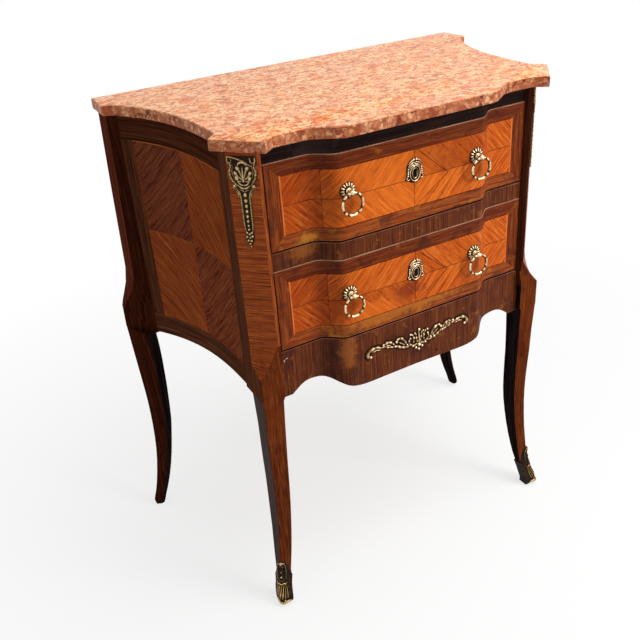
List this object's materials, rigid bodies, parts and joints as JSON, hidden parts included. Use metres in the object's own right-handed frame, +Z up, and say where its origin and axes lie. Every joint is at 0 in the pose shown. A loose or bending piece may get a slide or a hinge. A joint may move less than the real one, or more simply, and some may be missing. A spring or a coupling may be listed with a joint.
{
  "type": "commode chest",
  "caption": "Marble-topped commode chest with breakfront drawers, canted corners, cabriole legs and gilt bronze mounts, for keeping linen and small things.",
  "frame": {"origin": "middle of the footprint, at floor level", "axes": "+Z up, the drawers open along -Y, +X to the right of someone facing the front"},
  "size_m": [0.7898, 0.424, 0.84],
  "materials": {
    "marble": "polished",
    "tulipwood": "French polished veneer",
    "kingwood": "French polished veneer",
    "dark_veneer": "French polished veneer",
    "oak": "raw, planed",
    "gilt_bronze": "cast, gilt, worn and darkened in its recesses",
    "lock_brass": "dull",
    "lock_steel": "filed"
  },
  "bodies": {
    "case": {"apron": "kingwood", "apron_mount": "gilt_bronze", "back_panel": "oak", "bottom_board": "oak", "bottom_front_rail": "oak", "bottom_rear_rail": "oak", "chute_left": "gilt_bronze", "chute_right": "gilt_bronze", "drawer_divider": "kingwood", "dust_board": "oak", "front_leg_left": "kingwood", "front_leg_right": "kingwood", "kicker_left": "oak", "kicker_right": "oak", "lower_runner_left": "oak", "lower_runner_right": "oak", "lower_stop_left": "oak", "lower_stop_right": "oak", "marble_top": "marble", "rear_leg_left": "kingwood", "rear_leg_right": "kingwood", "sabot_left": "gilt_bronze", "sabot_right": "gilt_bronze", "side_panel_left": "dark_veneer", "side_panel_right": "dark_veneer", "top_front_rail": "dark_veneer", "top_rear_rail": "oak", "upper_runner_left": "oak", "upper_runner_right": "oak", "upper_stop_left": "oak", "upper_stop_right": "oak"},
    "upper_drawer": {"upper_drawer_back": "oak", "upper_drawer_bottom": "oak", "upper_drawer_front": "tulipwood", "upper_drawer_side_left": "oak", "upper_drawer_side_right": "oak", "upper_escutcheon": "gilt_bronze", "upper_lock_case": "lock_brass", "upper_rosette_left": "gilt_bronze", "upper_rosette_right": "gilt_bronze", "upper_stud_left": "gilt_bronze", "upper_stud_right": "gilt_bronze"},
    "lower_drawer": {"lower_drawer_back": "oak", "lower_drawer_bottom": "oak", "lower_drawer_front": "tulipwood", "lower_drawer_side_left": "oak", "lower_drawer_side_right": "oak", "lower_escutcheon": "gilt_bronze", "lower_lock_case": "lock_brass", "lower_rosette_left": "gilt_bronze", "lower_rosette_right": "gilt_bronze", "lower_stud_left": "gilt_bronze", "lower_stud_right": "gilt_bronze"},
    "upper_ring_left": {"upper_ring_left": "gilt_bronze"},
    "upper_ring_right": {"upper_ring_right": "gilt_bronze"},
    "upper_lock_bolt": {"upper_lock_bolt": "lock_steel"},
    "lower_ring_left": {"lower_ring_left": "gilt_bronze"},
    "lower_ring_right": {"lower_ring_right": "gilt_bronze"},
    "lower_lock_bolt": {"lower_lock_bolt": "lock_steel"}
  },
  "joints": [
    {"name": "upper_drawer_slide", "type": "slide", "parent": "case", "child": "upper_drawer", "axis": [0, -1, 0], "range_m": [0, 0.25]},
    {"name": "upper_ring_left_hinge", "type": "hinge", "parent": "upper_drawer", "child": "upper_ring_left", "pos_m": [-0.1162, -0.197, 0.7385], "axis": [-1, 0, 0], "range_deg": [-12, 85]},
    {"name": "upper_ring_right_hinge", "type": "hinge", "parent": "upper_drawer", "child": "upper_ring_right", "pos_m": [0.1162, -0.197, 0.7385], "axis": [-1, 0, 0], "range_deg": [-12, 85]},
    {"name": "upper_lock_bolt_slide", "type": "slide", "parent": "upper_drawer", "child": "upper_lock_bolt", "axis": [0, 0, 1], "range_m": [0, 0.009]},
    {"name": "lower_drawer_slide", "type": "slide", "parent": "case", "child": "lower_drawer", "axis": [0, -1, 0], "range_m": [0, 0.25]},
    {"name": "lower_ring_left_hinge", "type": "hinge", "parent": "lower_drawer", "child": "lower_ring_left", "pos_m": [-0.1218, -0.197, 0.5748], "axis": [-1, 0, 0], "range_deg": [-12, 85]},
    {"name": "lower_ring_right_hinge", "type": "hinge", "parent": "lower_drawer", "child": "lower_ring_right", "pos_m": [0.1162, -0.197, 0.5748], "axis": [-1, 0, 0], "range_deg": [-12, 85]},
    {"name": "lower_lock_bolt_slide", "type": "slide", "parent": "lower_drawer", "child": "lower_lock_bolt", "axis": [0, 0, 1], "range_m": [0, 0.009]}
  ]
}
